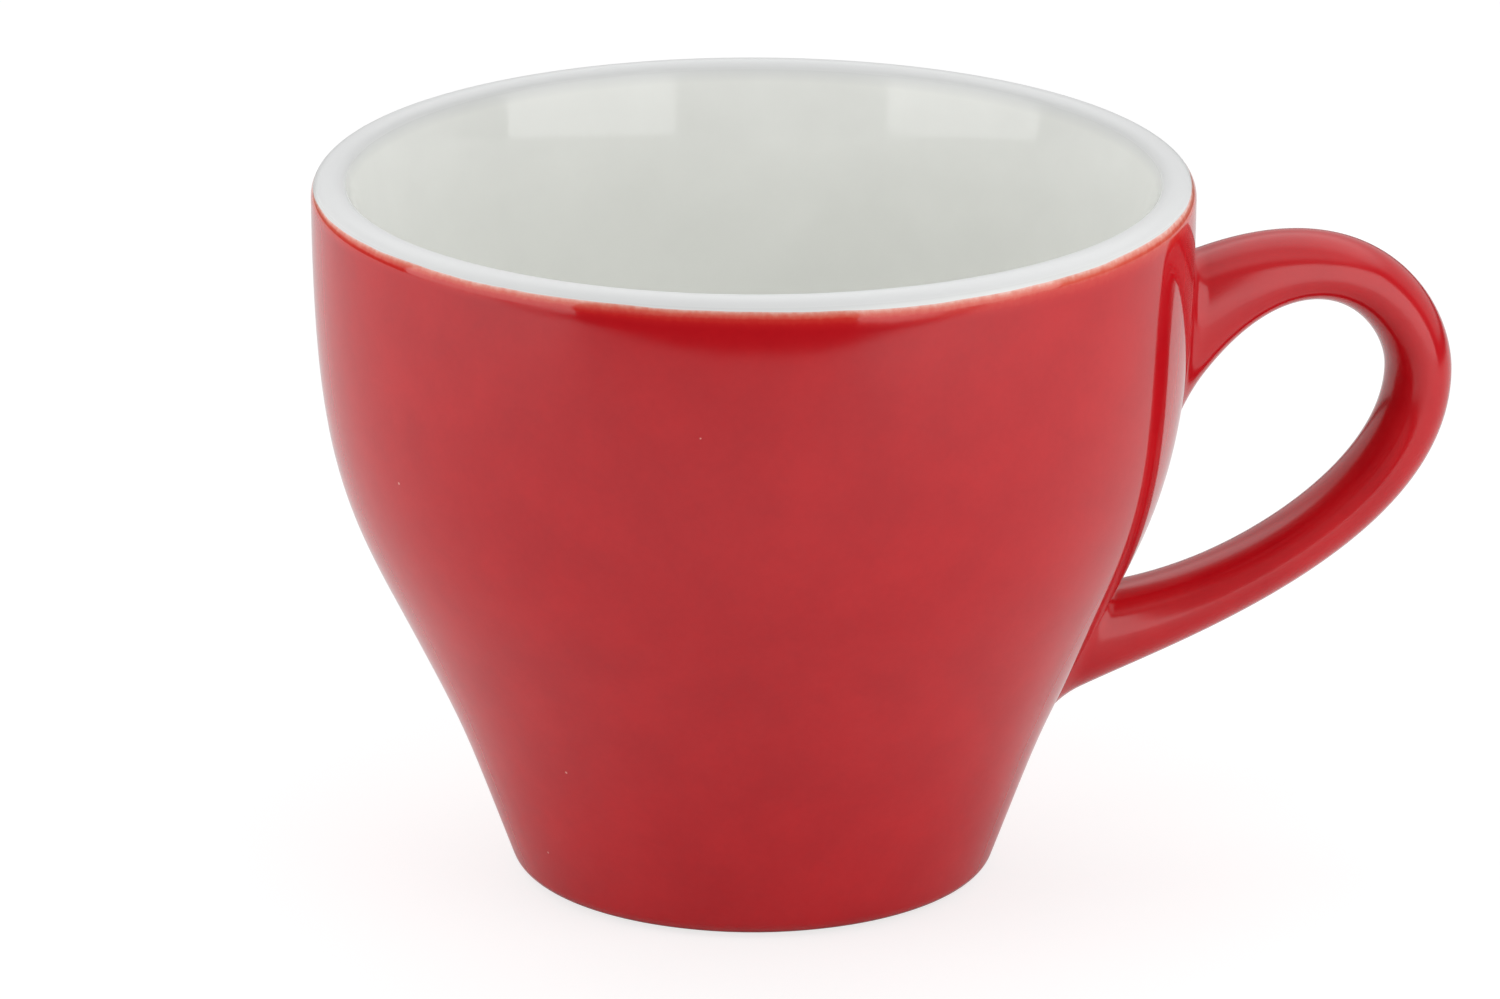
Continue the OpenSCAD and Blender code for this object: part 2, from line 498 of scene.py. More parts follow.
def bumped(tree: bpy.types.NodeTree, height: bpy.types.NodeSocket, depth_mm: float) -> bpy.types.NodeSocket:
    """Turn a height into a bumped normal.

    Args:
        tree: The node tree.
        height: The height, from 0 to 1.
        depth_mm: What a height of 1 is in millimetres.

    Returns:
        The normal.
    """
    settings = {"Strength": 1.0, "Distance": depth_mm * MM}
    return add_node(tree, "ShaderNodeBump", settings, {"Height": height}).outputs["Normal"]


def surfaced(tree: bpy.types.NodeTree, settings: dict, links: dict) -> None:
    """End a material in one principled shader.

    Args:
        tree: The node tree.
        settings: The shader's own values.
        links: The shader's linked inputs.
    """
    shader = add_node(tree, "ShaderNodeBsdfPrincipled", settings, links)
    add_node(tree, "ShaderNodeOutputMaterial", links={"Surface": shader.outputs["BSDF"]})


@dataclass(frozen=True)
class RedGlaze:
    """Opaque pigment glaze, sprayed on and fired to a gloss.

    It gives a deep even red with a mirror-like skin of glass. Where it thins
    out at its upper edge the pale clay shows through and turns it orange.
    """

    name: str = "red_gloss_glaze"
    deep: str = "#B6101A"
    light: str = "#C0151D"
    mottle_range: tuple[float, float] = (0.45, 0.85)
    thinning: tuple[tuple[float, str], ...] = (
        (0.08, "#EBBAAF"),
        (0.16, "#E18C7B"),
        (0.27, "#D9604F"),
        (0.42, "#CE362F"),
        (0.65, "#C41E21"),
        (1.0, "#B8131C"),
    )
    thin_mm: float = 2.2
    full_from: float = 0.6
    edge_grain: float = 0.35
    mottle_mm: float = 7.0
    grain_mm: float = 0.7
    grain_share: float = 0.3
    ripple_mm: float = 5.0
    ripple_depth_mm: float = 0.006
    speck: str = "#D98D84"
    speck_mm: float = 5.5
    speck_size: float = 0.026
    speck_above: float = 0.45
    roughness: float = 0.06
    ior: float = 1.5

    def build(self) -> bpy.types.Material:
        """Build the material.

        Returns:
            The material.
        """
        material, tree = new_material(self.name)
        place = add_node(tree, "ShaderNodeTexCoord").outputs["Object"]
        mottle = noise(tree, place, self.mottle_mm, 3.0)
        grain = noise(tree, place, self.grain_mm, 2.0)
        adding = {"operation": "MULTIPLY_ADD", 1: self.grain_share}
        both = add_node(tree, "ShaderNodeMath", adding, {0: grain, 2: mottle})
        body = ramp(tree, both.outputs[0], zip(self.mottle_range, (self.deep, self.light)))
        colour = self.thin_edge(tree, grain, body.outputs["Color"])
        colour, pit = self.specks(tree, place, colour)
        ripple = noise(tree, place, self.ripple_mm, 1.0)
        height = add_node(tree, "ShaderNodeMath", {"operation": "SUBTRACT"}, {0: ripple, 1: pit})
        normal = bumped(tree, height.outputs[0], self.ripple_depth_mm)
        surfaced(
            tree, {"Roughness": self.roughness, "IOR": self.ior}, {"Base Color": colour, "Normal": normal}
        )
        return material

    def thin_edge(
        self, tree: bpy.types.NodeTree, grain: bpy.types.NodeSocket, body: bpy.types.NodeSocket
    ) -> bpy.types.NodeSocket:
        """Turn the coat orange where it thins out below the lip.

        Args:
            tree: The node tree.
            grain: Fine noise that roughens the change.
            body: Colour of the full coat.

        Returns:
            The colour.
        """
        edge = add_node(tree, "ShaderNodeAttribute", {"attribute_name": "edge"})
        adding = {"operation": "MULTIPLY_ADD", 1: self.edge_grain}
        rough = add_node(tree, "ShaderNodeMath", adding, {0: grain, 2: edge.outputs["Fac"]})
        dividing = {"operation": "DIVIDE", 1: self.thin_mm}
        share = add_node(tree, "ShaderNodeMath", dividing, {0: rough.outputs[0]})
        line = ramp(tree, share.outputs[0], self.thinning)
        keep = ramp(tree, share.outputs[0], [(self.full_from, 0.0), (1.0, 1.0)])
        return colour_mix(tree, keep.outputs["Color"], line.outputs["Color"], body)

    def specks(
        self, tree: bpy.types.NodeTree, place: bpy.types.NodeSocket, colour: bpy.types.NodeSocket
    ) -> tuple[bpy.types.NodeSocket, bpy.types.NodeSocket]:
        """Scatter a few pinholes, about a quarter of a millimetre across.

        Args:
            tree: The node tree.
            place: Object coordinates.
            colour: Colour of the coat.

        Returns:
            The colour with its pinholes, and their depth from 0 to 1.
        """
        cells = add_node(tree, "ShaderNodeTexVoronoi", {"Scale": 1 / (self.speck_mm * MM)}, {"Vector": place})
        near = {"operation": "LESS_THAN", 1: self.speck_size}
        dot = add_node(tree, "ShaderNodeMath", near, {0: cells.outputs["Distance"]})
        pick = add_node(tree, "ShaderNodeSeparateColor", links={0: cells.outputs["Color"]})
        above = {"operation": "GREATER_THAN", 1: self.speck_above}
        few = add_node(tree, "ShaderNodeMath", above, {0: pick.outputs[0]})
        both = {0: dot.outputs[0], 1: few.outputs[0]}
        pit = add_node(tree, "ShaderNodeMath", {"operation": "MULTIPLY"}, both).outputs[0]
        return colour_mix(tree, pit, colour, self.speck), pit


@dataclass(frozen=True)
class WhiteGlaze:
    """Opaque white glaze, poured into the cup and fired to a gloss.

    It gives a slightly grey, faintly green white with soft unevenness. On the
    lip it is painted greyer, painted shade that dims the top of the lip where
    the light falls most, and it is less glossy there.
    """

    name: str = "white_gloss_glaze"
    low: str = "#EDEEEA"
    high: str = "#F1F2EE"
    # Painted shade: the greyer colour of the lip's top, which dims the most brightly lit part of the cup.
    lip: str = "#DCDDDD"
    lip_roughness: float = 0.3
    mottle_range: tuple[float, float] = (0.35, 0.7)
    mottle_mm: float = 9.0
    ripple_mm: float = 6.0
    ripple_depth_mm: float = 0.006
    roughness: float = 0.08
    ior: float = 1.5

    def build(self) -> bpy.types.Material:
        """Build the material.

        Returns:
            The material.
        """
        material, tree = new_material(self.name)
        place = add_node(tree, "ShaderNodeTexCoord").outputs["Object"]
        mottle = noise(tree, place, self.mottle_mm, 3.0)
        body = ramp(tree, mottle, zip(self.mottle_range, (self.low, self.high)))
        # Painted shade: the lip mask mixes the colour towards the grey lip colour, where the light falls
        # most, and also makes the gloss duller there.
        thin = add_node(tree, "ShaderNodeAttribute", {"attribute_name": "lip"}).outputs["Fac"]
        colour = colour_mix(tree, thin, body.outputs["Color"], self.lip)
        duller = {"To Min": self.roughness, "To Max": self.lip_roughness}
        dull = add_node(tree, "ShaderNodeMapRange", duller, {"Value": thin})
        normal = bumped(tree, noise(tree, place, self.ripple_mm, 1.0), self.ripple_depth_mm)
        links = {"Base Color": colour, "Roughness": dull.outputs["Result"], "Normal": normal}
        surfaced(tree, {"IOR": self.ior}, links)
        return material


@dataclass(frozen=True)
class FiredClay:
    """Fired, unglazed clay, wiped and ground flat where the cup stands.

    It gives a matt cream with a fine grit of darker grains.
    """

    name: str = "fired_clay"
    low: str = "#D9CFBD"
    high: str = "#EDE6D8"
    colour_range: tuple[float, float] = (0.12, 0.38)
    grit_mm: float = 0.35
    cloud_mm: float = 6.0
    depth_mm: float = 0.05
    roughness: float = 0.78

    def build(self) -> bpy.types.Material:
        """Build the material.

        Returns:
            The material.
        """
        material, tree = new_material(self.name)
        place = add_node(tree, "ShaderNodeTexCoord").outputs["Object"]
        grit = noise(tree, place, self.grit_mm, 4.0)
        cloud = noise(tree, place, self.cloud_mm, 2.0)
        both = add_node(tree, "ShaderNodeMath", {"operation": "MULTIPLY"}, {0: grit, 1: cloud})
        body = ramp(tree, both.outputs[0], zip(self.colour_range, (self.low, self.high)))
        links = {"Base Color": body.outputs["Color"], "Normal": bumped(tree, grit, self.depth_mm)}
        surfaced(tree, {"Roughness": self.roughness}, links)
        return material


# ---------------------------------------------------------------- the cup


@dataclass
class CupWall:
    """Wall, lip, inside and foot of the cup. Lengths in millimetres, angles in degrees."""

    rim_d: float = 90.0
    cup_h: float = 74.0
    foot_d: float = 48.6
    foot_lean: float = 20.3
    flank_d: float = 75.6
    flank_z: float = 31.6
    flank_lean: float = 26.6
    top_lean: float = 0.2
    rim_t: float = 3.7
    belly_t: float = 6.0
    belly_drop: float = 20.0
    mouth_lean: float = 18.5
    flank_t: float = 5.4
    lip_out_r: float = 2.1
    lip_in_r: float = 1.5
    floor_z: float = 8.0
    bowl_z: float = 19.0
    foot_round: float = 2.2
    ring_w: float = 3.2
    recess_h: float = 2.8
    recess_round: float = 1.4
    coat_t: float = 0.4
    glaze_lift: float = 0.3
    wipe_h: float = 0.9
    band_angle: float = 32.0
    # Length over which the lip's painted shade and duller gloss fade in round the mouth.
    lip_fade: float = 1.2
    # The red coat thins out over a longer way round one side, which lies thin_turn radians from the handle.
    thin_wider: float = 0.7
    thin_turn: float = -0.35
    lower_pull: tuple[float, float] = (0.512, 0.554)
    upper_pull: tuple[float, float] = (0.289, 0.56)
    bowl_pull: tuple[float, float] = (0.34, 0.62)
    wall_steps: int = 44
    round_steps: int = 14
    bowl_steps: int = 34
    turns: int = 192
    wave_deg: float = 2.6
    wave_ease: tuple[float, float, float, float] = (4.0, 26.0, 38.0, 74.0)
    # Each wave of the border: its count round the cup, its size and its phase.
    border_waves: tuple[tuple[int, float, float], ...] = (
        (1, 1.4, 0.63),
        (2, 1.3, 1.31),
        (3, 1.7, 1.88),
        (7, 0.35, 1.9),
        (13, 0.3, 4.1),
        (24, 0.22, 0.8),
        (41, 0.16, 2.7),
        (67, 0.1, 5.2),
    )
    full_wall: list[Row] = field(init=False)
    red_rows: list[Row] = field(init=False)
    white_rows: list[Row] = field(init=False)
    recess_rows: list[Row] = field(init=False)

    def __post_init__(self) -> None:
        """Work out the profiles."""
        top = Vector((self.rim_r, self.cup_h - self.lip_out_r))
        flank = Vector((self.flank_d / 2, self.flank_z))
        foot = Vector((self.foot_d / 2, 0))
        lower = span_curve(foot, lean_dir(self.foot_lean), flank, lean_dir(self.flank_lean), self.lower_pull)
        upper = span_curve(flank, lean_dir(self.flank_lean), top, lean_dir(self.top_lean), self.upper_pull)
        self.full_wall = curve_rows(lower, self.wall_steps) + curve_rows(upper, self.wall_steps, 1)
        self.red_rows = self.foot_rows() + self.wall_rows() + self.band_rows()
        self.white_rows = self.lip_rows() + self.inner_rows()
        self.recess_rows = self.under_rows()

    @property
    def rim_r(self) -> float:
        """Give the rim's radius."""
        return self.rim_d / 2

    @property
    def corner(self) -> Vector:
        """Give the centre of the rounding between wall and foot.

        Returns:
            The centre, as radius and height.
        """
        z = self.glaze_lift + self.foot_round
        touch = z - self.foot_round * math.sin(math.radians(self.foot_lean))
        return Vector((self.wall_r(touch) - self.foot_round * math.cos(math.radians(self.foot_lean)), z))

    @property
    def lip_centre(self) -> Vector:
        """Give the centre of the lip's outer rounding."""
        return Vector((self.rim_r - self.lip_out_r, self.cup_h - self.lip_out_r))

    def looked_up(self, z: float, value: Callable[[Row], float]) -> float:
        """Read a value of the wall at a height, between its rows.

        Args:
            z: The height.
            value: What to read from a row.

        Returns:
            The value.
        """
        rows = self.full_wall
        if z <= rows[0][0].y:
            return value(rows[0])
        for a, b in zip(rows, rows[1:]):
            if z <= b[0].y:
                u = (z - a[0].y) / (b[0].y - a[0].y)
                return value(a) * (1 - u) + value(b) * u
        return value(rows[-1])

    def wall_r(self, z: float) -> float:
        """Give the glazed wall's outer radius at a height."""
        return self.looked_up(z, lambda row: row[0].x)

    def wall_facing(self, z: float) -> float:
        """Give the horizontal share of the wall's normal at a height."""
        return self.looked_up(z, lambda row: row[1].x)

    @property
    def mouth_z(self) -> float:
        """Give the height where the lip's inner rounding ends."""
        return self.cup_h - self.lip_in_r * (1 - math.sin(math.radians(self.mouth_lean)))

    def wall_t(self, z: float) -> float:
        """Give the wall's thickness at a height: thin at the lip, full at the belly.

        Args:
            z: The height.

        Returns:
            The thickness.
        """
        belly_z = self.cup_h - self.belly_drop
        if z < belly_z:
            return self.flank_t + (self.belly_t - self.flank_t) * z / belly_z
        lean = math.radians(self.mouth_lean)
        start = self.rim_t - self.lip_in_r * (1 - math.cos(lean))
        reach = self.mouth_z - belly_z
        u = (self.mouth_z - z) / reach
        blend = (self.belly_t - start) * u * u * (3 - 2 * u)
        return start + blend + math.tan(lean) * reach * u * (1 - u) ** 2

    def foot_rows(self) -> list[Row]:
        """Give the rounding at the foot."""
        return arc_rows(self.corner, self.foot_round, -90, -self.foot_lean, self.round_steps)

    def wall_rows(self) -> list[Row]:
        """Give the wall above the rounding."""
        start = self.corner.y - self.foot_round * math.sin(math.radians(self.foot_lean))
        return [row for row in self.full_wall if row[0].y > start + self.coat_t / 2]

    def band_rows(self) -> list[Row]:
        """Give the red part of the lip's rounding."""
        return arc_rows(self.lip_centre, self.lip_out_r, 0, self.band_angle, self.round_steps, 1)

    def lip_rows(self) -> list[Row]:
        """Give the white part of the lip.

        Returns:
            The rows, from the border over the top into the mouth.
        """
        inner = Vector((self.rim_r - self.rim_t + self.lip_in_r, self.cup_h - self.lip_in_r))
        outer = arc_rows(self.lip_centre, self.lip_out_r, self.band_angle, 90, self.round_steps)
        return outer + arc_rows(inner, self.lip_in_r, 90, 180 - self.mouth_lean, self.round_steps)

    def inner_rows(self) -> list[Row]:
        """Give the inside, from the lip down to the floor's centre.

        Returns:
            The rows.
        """
        top = self.mouth_z - self.coat_t / 2
        rows = []
        for p, n in reversed(self.full_wall):
            q = p - n * self.wall_t(p.y)
            if self.bowl_z < q.y < top:
                rows.append(q)
        edges = [rows[0]] + rows + [rows[-1]]
        wall = []
        for k, q in enumerate(rows):
            along = (edges[k + 2] - edges[k]).normalized()
            wall.append((q, Vector((along.y, -along.x))))
        end, normal = wall[-1]
        along = Vector((-normal.y, normal.x))
        centre = Vector((0, self.floor_z))
        side = end + along * end.x * self.bowl_pull[0]
        flat = centre + Vector((end.x * self.bowl_pull[1], 0))
        return wall + curve_rows([end, side, flat, centre], self.bowl_steps, 1)

    def under_rows(self) -> list[Row]:
        """Give the glazed recess under the foot, from its centre outward.

        Returns:
            The rows.
        """
        reach = self.corner.x - self.ring_w - self.coat_t
        centre = Vector((reach - self.recess_round, self.recess_h - self.recess_round))
        arc = arc_rows(centre, self.recess_round, 90, 0, self.round_steps)
        inward = [(p, -n) for p, n in arc]
        return [(Vector((0, self.recess_h)), Vector((0, -1)))] + inward

    def coat_outline(self, rows: list[Row]) -> list[Vector]:
        """Give the closed outline of a coat over some rows."""
        return sunk(rows) + sunk(reversed(rows), self.coat_t)

    def border_wave(self, angle: float) -> float:
        """Give the border's wander in degrees of the lip's rounding, at an angle round the cup."""
        waves = (size * math.sin(count * angle + phase) for count, size, phase in self.border_waves)
        return self.wave_deg * sum(waves)

    def waved(self, p: Vector) -> Vector:
        """Move a point near the border along the lip's rounding, as the border wanders.

        Args:
            p: The point in metres.

        Returns:
            The new point.
        """
        around = math.atan2(p.y, p.x)
        out = Vector((math.hypot(p.x, p.y) / MM, p.z / MM)) - self.lip_centre
        up = math.degrees(math.atan2(out.y, out.x))
        start, full, fade, end = self.wave_ease
        share = smooth_step(start, full, up) * (1 - smooth_step(fade, end, up))
        if share <= 0 or not self.lip_out_r - 2 * self.coat_t < out.length < self.lip_out_r + self.coat_t:
            return p
        turned = math.radians(up + share * self.border_wave(around))
        r = (self.lip_centre.x + out.length * math.cos(turned)) * MM
        z = (self.lip_centre.y + out.length * math.sin(turned)) * MM
        return Vector((r * math.cos(around), r * math.sin(around), z))

    def below_border(self, p: Vector) -> float:
        """Give how far down from the border a point is, less on the side where the coat thins slowly.

        Args:
            p: The point in metres.

        Returns:
            The distance along the surface in millimetres.
        """
        around = math.atan2(p.y, p.x)
        line = math.radians(self.band_angle + self.border_wave(around))
        slow = 1 + self.thin_wider * max(0.0, math.cos(around - self.thin_turn)) ** 2
        height = p.z / MM - self.lip_centre.y
        if height <= 0:
            return (self.lip_out_r * line - height) / slow
        r = math.hypot(p.x, p.y) / MM - self.lip_centre.x
        return max(0.0, self.lip_out_r * (line - math.atan2(height, r))) / slow

    def build(self, red: bpy.types.Material, white: bpy.types.Material) -> None:
        """Build the wall's red coat, the white liner and the coat under the foot.

        Args:
            red: The red glaze.
            white: The white glaze.
        """
        wall = spun("wall_coat", self.coat_outline(self.red_rows), Axis.CLOSED, self.turns)
        reshape(wall, self.waved)
        number_layer(wall, "edge", self.below_border)
        smooth(wall, WALL_CREASE)
        seat(wall, "outer_glaze", red)

        liner = spun("liner_coat", self.coat_outline(self.white_rows), Axis.OPEN, self.turns)
        reshape(liner, self.waved)
        # Lip mask for the white glaze: 1 on the top of the lip, where it paints shade with a greyer colour
        # and dulls the gloss.
        low, high = self.mouth_z - self.lip_fade, self.mouth_z + self.lip_fade / 2
        number_layer(liner, "lip", lambda p: smooth_step(low, high, p.z / MM))
        smooth(liner, WALL_CREASE)
        seat(liner, "liner_glaze", white)

        reach = self.recess_rows[-1][0].x
        edge = [Vector((reach, self.wipe_h)), Vector((reach + self.coat_t, self.wipe_h))]
        outline = sunk(self.recess_rows) + edge + sunk(reversed(self.recess_rows), self.coat_t)
        base = spun("recess_coat", outline, Axis.OPEN, self.turns)
        # Lip mask of 0: no painted lip shade under the foot.
        number_layer(base, "lip", lambda p: 0.0)
        smooth(base, WALL_CREASE)
        seat(base, "base_glaze", white)


@dataclass
class LoopHandle:
    """The handle's glazed loop between its two roots. Lengths in millimetres, angles in degrees.

    The section is a squarish oval at the roots and nearly an ellipse along the loop.
    """

    wall: CupWall
    handle_out: float = 28.2
    bow_drop: float = 24.5
    strap_t: float = 6.7
    strap_w: float = 10.0
    root_w: float = 11.6
    strap_square: float = 2.02
    root_square: float = 0.4
    upper_top_drop: float = 11.3
    upper_low_drop: float = 29.0
    lower_top_z: float = 27.4
    lower_low_z: float = 15.4
    outer_lift: float = 21.2
    inner_lift: float = 60.4
    outer_tail: float = 35.9
    inner_tail: float = 5.3
    root_fillet: float = 2.4
    outer_arch_shares: tuple[float, float] = (0.653, 0.276)
    inner_arch_shares: tuple[float, float] = (1.029, 0.277)
    outer_tail_shares: tuple[float, float] = (0.095, 0.394)
    inner_tail_shares: tuple[float, float] = (0.42, 0.272)
    widen_share: float = 0.35
    bury: float = 1.2
    sides: int = 80
    half_rings: int = 90
    fillet_rings: int = 20
    spread: float = 1.25
    search_end: float = 0.6
    search_steps: int = 40
    rails: list[tuple[list[Vector], list[Vector]]] = field(init=False)

    def __post_init__(self) -> None:
        """Work out the outer and inner rail of each half."""
        wall = self.wall
        bow_z = wall.cup_h - self.bow_drop
        outer = Vector((wall.rim_r + self.handle_out, bow_z))
        inner = outer - Vector((self.strap_t, 0))
        down = Vector((0, -1))
        top = self.on_wall(wall.cup_h - self.upper_top_drop)
        low = self.on_wall(wall.cup_h - self.upper_low_drop)
        tail_top, tail_low = self.on_wall(self.lower_top_z), self.on_wall(self.lower_low_z)
        self.rails = [
            (
                span_curve(top, rise_dir(self.outer_lift), outer, down, self.outer_arch_shares),
                span_curve(low, rise_dir(self.inner_lift), inner, down, self.inner_arch_shares),
            ),
            (
                span_curve(tail_low, rise_dir(self.outer_tail), outer, -down, self.outer_tail_shares),
                span_curve(tail_top, rise_dir(self.inner_tail), inner, -down, self.inner_tail_shares),
            ),
        ]

    def on_wall(self, z: float) -> Vector:
        """Give the wall's point at a height."""
        return Vector((self.wall.wall_r(z), z))

    def gap(self, p: Vector) -> float:
        """Give a point's distance from the wall, negative inside it."""
        return (math.hypot(p.x, p.y) - self.wall.wall_r(p.z)) * self.wall.wall_facing(p.z)

    def flare(self, d: float) -> float:
        """Give the fillet's growth at a distance from the wall."""
        u = min(self.root_fillet - d, self.root_fillet)
        return 0.0 if u <= 0 else self.root_fillet - math.sqrt(max(0.0, self.root_fillet**2 - u * u))

    def section(self, half: int, s: float, angle: float) -> tuple[Vector, Vector]:
        """Give a point on the strap without its fillet, and the direction out of the strap.

        Args:
            half: 0 for the upper half, 1 for the lower.
            s: Share along the half from its root; below 0, millimetres buried in the wall.
            angle: Angle round the section, from the outer face.

        Returns:
            The point and the direction.
        """
        t, sink = max(0.0, s), max(0.0, -s)
        outer, inner = (bezier(rail, t) - Vector((sink, 0)) for rail in self.rails[half])
        across = (outer - inner).normalized()
        half_t = (outer - inner).length / 2
        widen = max(0.0, 1 - t / self.widen_share) ** 2
        half_w = (self.strap_w + (self.root_w - self.strap_w) * widen) / 2
        mid = (outer + inner) / 2
        c, n = math.cos(angle), math.sin(angle)
        square = self.strap_square + self.root_square * widen
        e = Vector([math.copysign(abs(v) ** (2 / square), v) for v in (c, n)])
        u = e.normalized()
        p = Vector((mid.x + half_t * e.x * across.x, half_w * e.y, mid.y + half_t * e.x * across.y))
        return p, Vector((u.x * across.x, u.y, u.x * across.y))

    def surface(self, half: int, s: float, angle: float) -> tuple[Vector, float]:
        """Give a point on the strap with its fillet.

        Args:
            half: 0 for the upper half, 1 for the lower.
            s: Share along the half, as in section.
            angle: Angle round the section.

        Returns:
            The point, and the distance from the wall that its fillet goes by.
        """
        p, out = self.section(half, s, angle)
        d = self.gap(p + out * self.root_fillet)
        return p + out * self.flare(d), d

    def place_at(self, half: int, d: float, angle: float) -> float:
        """Find where a line along the strap is at a distance from the wall.

        Args:
            half: 0 for the upper half, 1 for the lower.
            d: The distance.
            angle: The line's angle round the section.

        Returns:
            The place, as in section.
        """
        low, high = -2 * self.bury - self.root_fillet, self.search_end
        for _ in range(self.search_steps):
            middle = (low + high) / 2
            if self.surface(half, middle, angle)[1] < d:
                low = middle
            else:
                high = middle
        return (low + high) / 2

    def line(self, half: int, angle: float) -> list[Vector]:
        """Give the points along one line of the loop, from the buried root to the bow.

        Args:
            half: 0 for the upper half, 1 for the lower.
            angle: The line's angle round the section.

        Returns:
            The points in millimetres.
        """
        steps = [(k / self.fillet_rings) ** self.spread for k in range(self.fillet_rings + 1)]
        turns = [math.pi / 2 * (1 - step) for step in steps]
        gaps = [-self.bury] + [self.root_fillet * (1 - math.sin(turn)) for turn in turns]
        places = [self.place_at(half, d, angle) for d in gaps]
        last = places[-1]
        count = self.half_rings
        places += [last + (1 - last) * (k / count) ** self.spread for k in range(1, count + 1)]
        return [self.surface(half, s, angle)[0] for s in places]

    def build(self, red: bpy.types.Material) -> None:
        """Build the handle's coat.

        Args:
            red: The red glaze.
        """
        lines = []
        for k in range(self.sides):
            angle = math.tau * k / self.sides
            upper, lower = self.line(0, angle), self.line(1, angle)
            lines.append(upper + lower[-2::-1])
        loop = tube("handle_coat", self.sides, len(lines[0]))

        def laid(p: Vector) -> Vector:
            """Lay a point of the straight tube on the loop."""
            side = round(math.atan2(p.y, p.x) / math.tau * self.sides) % self.sides
            return lines[side][round(p.z / MM)] * MM

        reshape(loop, laid)
        recalculate(loop)
        coat = loop.modifiers.new("coat", "SOLIDIFY")
        coat.thickness = self.wall.coat_t * MM
        coat.offset = -1.0
        coat.use_rim = True
        bpy.ops.object.modifier_apply(modifier=coat.name)
        number_layer(loop, "edge", lambda p: self.wall.cup_h)
        smooth(loop, HANDLE_CREASE)
        seat(loop, "handle_glaze", red)


# ---------------------------------------------------------------- the studio


@dataclass(frozen=True)
class SoftBox:
    """A soft rectangular lamp. Lengths in metres."""

    name: str
    place: tuple[float, float, float]
    aim: tuple[float, float, float]
    width: float
    height: float
    level: float

    def build(self) -> None:
        """Add the lamp; its level is the radiance of its face, where 1 is white."""
        data = bpy.data.lights.new(self.name, "AREA")
        data.shape = "RECTANGLE"
        data.size, data.size_y = self.width, self.height
        data.energy = self.level * math.pi * self.width * self.height
        lamp = bpy.data.objects.new(self.name, data)
        lamp.visible_camera = False
        bpy.context.scene.collection.objects.link(lamp)
        toward = Vector(self.aim) - Vector(self.place)
        turn = toward.to_track_quat("-Z", "Y").to_matrix().to_4x4()
        lamp.matrix_world = VIEW_TURN @ Matrix.Translation(self.place) @ turn


@dataclass(frozen=True)
class Camera:
    """The camera at the photograph's viewing angle. Place in metres, angles in radians."""

    place: tuple[float, float, float] = (0.0, -0.97583, 0.35884)
    pitch: float = 0.31674
    yaw: float = -0.000333
    roll: float = -0.001721
    lens: float = 240.0
    sensor: float = 36.0
    reach: tuple[float, float] = (0.01, 20.0)

    def build(self) -> None:
        """Add the camera and make it the scene's."""
        level = math.cos(self.pitch)
        forward = Vector((math.sin(self.yaw) * level, math.cos(self.yaw) * level, -math.sin(self.pitch)))
        right = Vector((math.cos(self.yaw), -math.sin(self.yaw), 0))
        down = forward.cross(right)
        c, s = math.cos(self.roll), math.sin(self.roll)
        across, below = c * right + s * down, c * down - s * right
        data = bpy.data.cameras.new("camera")
        data.lens = self.lens
        data.sensor_width = self.sensor
        data.clip_start, data.clip_end = self.reach
        eye = bpy.data.objects.new("camera", data)
        bpy.context.scene.collection.objects.link(eye)
        turn = Matrix((across, -below, -forward)).transposed().to_4x4()
        eye.matrix_world = VIEW_TURN @ Matrix.Translation(self.place) @ turn
        bpy.context.scene.camera = eye


